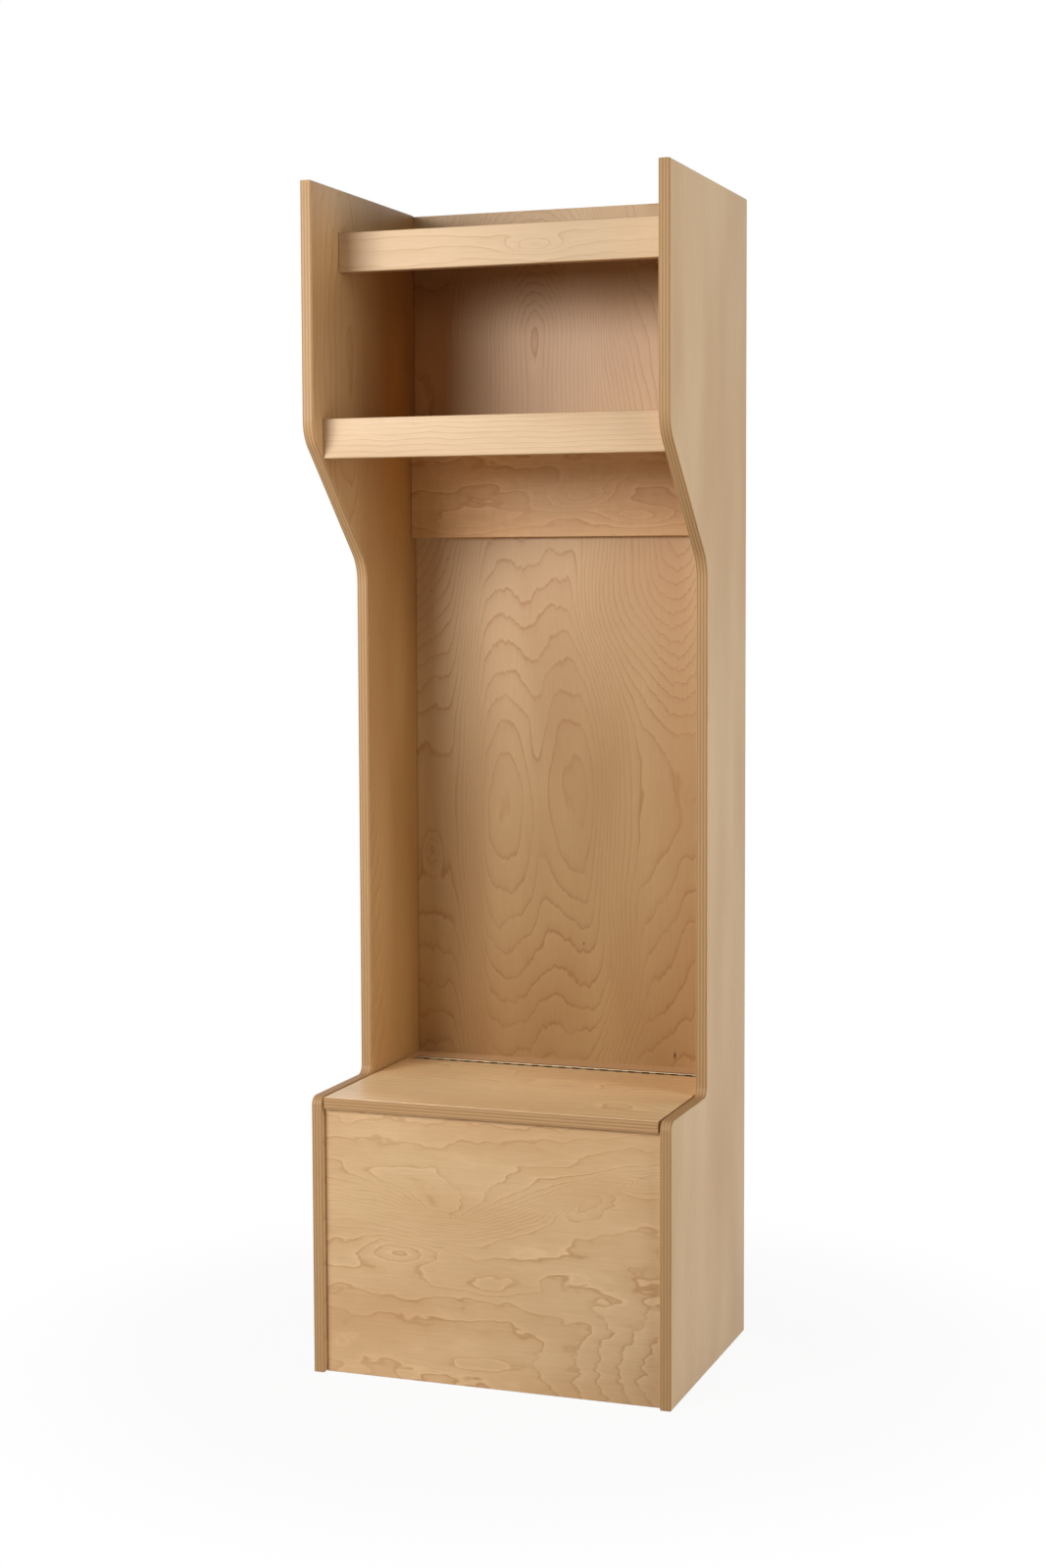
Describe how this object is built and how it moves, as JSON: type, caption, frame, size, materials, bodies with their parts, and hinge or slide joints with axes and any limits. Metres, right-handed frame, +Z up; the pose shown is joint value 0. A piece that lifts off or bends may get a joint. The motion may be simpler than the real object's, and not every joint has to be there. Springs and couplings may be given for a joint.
{
  "type": "stadium locker",
  "caption": "Open plywood sports locker with profiled sides, lipped shelves, a plain rail and a bench whose lid lifts on a continuous hinge over a storage bin.",
  "frame": {"origin": "middle of the footprint, on the floor", "axes": "+Z up, +X to the right of someone facing the locker, front towards -Y, back towards +Y"},
  "size_m": [0.6096, 0.451, 1.925],
  "materials": {
    "side_ply": "satin clear lacquer on birch plywood",
    "back_ply": "satin clear lacquer on birch plywood",
    "rail_ply": "satin clear lacquer on figured birch plywood",
    "shelf_ply": "satin clear lacquer on birch plywood",
    "lip_ply": "satin clear lacquer on birch plywood",
    "bin_ply": "satin clear lacquer on birch plywood",
    "inner_ply": "thin clear lacquer on birch plywood",
    "seat_ply": "satin clear lacquer on birch plywood",
    "dowel_beech": "bare beech",
    "hinge_nickel": "nickel-plated steel strip",
    "screw_nickel": "nickel-plated steel",
    "screw_zinc": "zinc-plated steel"
  },
  "bodies": {
    "cabinet": {"left_side_panel": "side_ply", "right_side_panel": "side_ply", "back_panel": "back_ply", "hook_rail": "rail_ply", "top_shelf": "shelf_ply", "middle_shelf": "shelf_ply", "top_shelf_lip": "lip_ply", "middle_shelf_lip": "lip_ply", "bench_front_panel": "bin_ply", "bench_floor": "inner_ply", "left_lid_cleat": "inner_ply", "right_lid_cleat": "inner_ply", "rear_strip_cleat": "inner_ply", "bench_rear_strip": "seat_ply", "hinge_fixed_leaf": "hinge_nickel", "hinge_pin": "hinge_nickel", "top_lip_dowels": "dowel_beech", "middle_lip_dowels": "dowel_beech", "hook_rail_dowels": "dowel_beech", "rear_strip_dowels": "dowel_beech", "front_panel_dowels": "dowel_beech", "back_panel_screws": "screw_zinc", "lid_cleat_screws": "screw_zinc", "hinge_fixed_screws": "screw_nickel"},
    "lid": {"seat_lid": "seat_ply", "hinge_lid_leaf": "hinge_nickel", "hinge_lid_screws": "screw_nickel"}
  },
  "joints": [
    {"name": "lid_hinge", "type": "hinge", "parent": "cabinet", "child": "lid", "pos_m": [0, 0.1362, 0.4593], "axis": [-1, 0, 0], "range_deg": [0, 101]}
  ]
}
